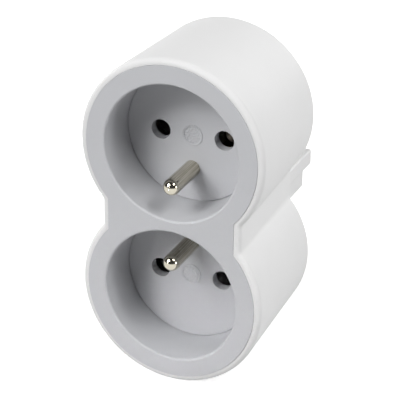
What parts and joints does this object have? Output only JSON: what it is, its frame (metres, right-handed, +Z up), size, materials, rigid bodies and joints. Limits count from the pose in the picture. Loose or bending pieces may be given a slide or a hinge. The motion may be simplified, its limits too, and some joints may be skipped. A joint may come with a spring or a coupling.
{
  "type": "multi socket adapter",
  "caption": "Plug-in mains adapter: a figure-eight casing with a pair of round earthed socket recesses in front and a round-pin plug stem behind.",
  "frame": {"origin": "middle of the plug stem's end face, midway between the plug pins", "axes": "+Y into the wall, along the plug pins; +Z up, from the lower socket to the upper one; +X to the right for someone who looks at the sockets"},
  "size_m": [0.054, 0.0797, 0.097],
  "materials": {
    "casing": "satin white moulding",
    "insert": "fine matt grey moulding",
    "nickel": "polished nickel plating",
    "insulator": "matt moulding",
    "brass": "bright rolled strip",
    "bronze": "dark oxidised spring strip",
    "screw_steel": "zinc plated"
  },
  "bodies": {
    "root": {"rear_casing": "casing", "socket_insert": "insert", "upper_earth_pin": "nickel", "lower_earth_pin": "nickel", "line_plug_pin": "nickel", "neutral_plug_pin": "nickel", "pin_bridge": "insulator", "line_strip": "brass", "neutral_strip": "brass", "earth_strip": "brass", "plug_earth_contact": "bronze", "upper_line_contact": "bronze", "lower_line_contact": "bronze", "upper_neutral_contact": "bronze", "lower_neutral_contact": "bronze", "contact_rivets": "brass", "earth_contact_rivet": "brass", "casing_screws": "screw_steel"}
  },
  "joints": []
}
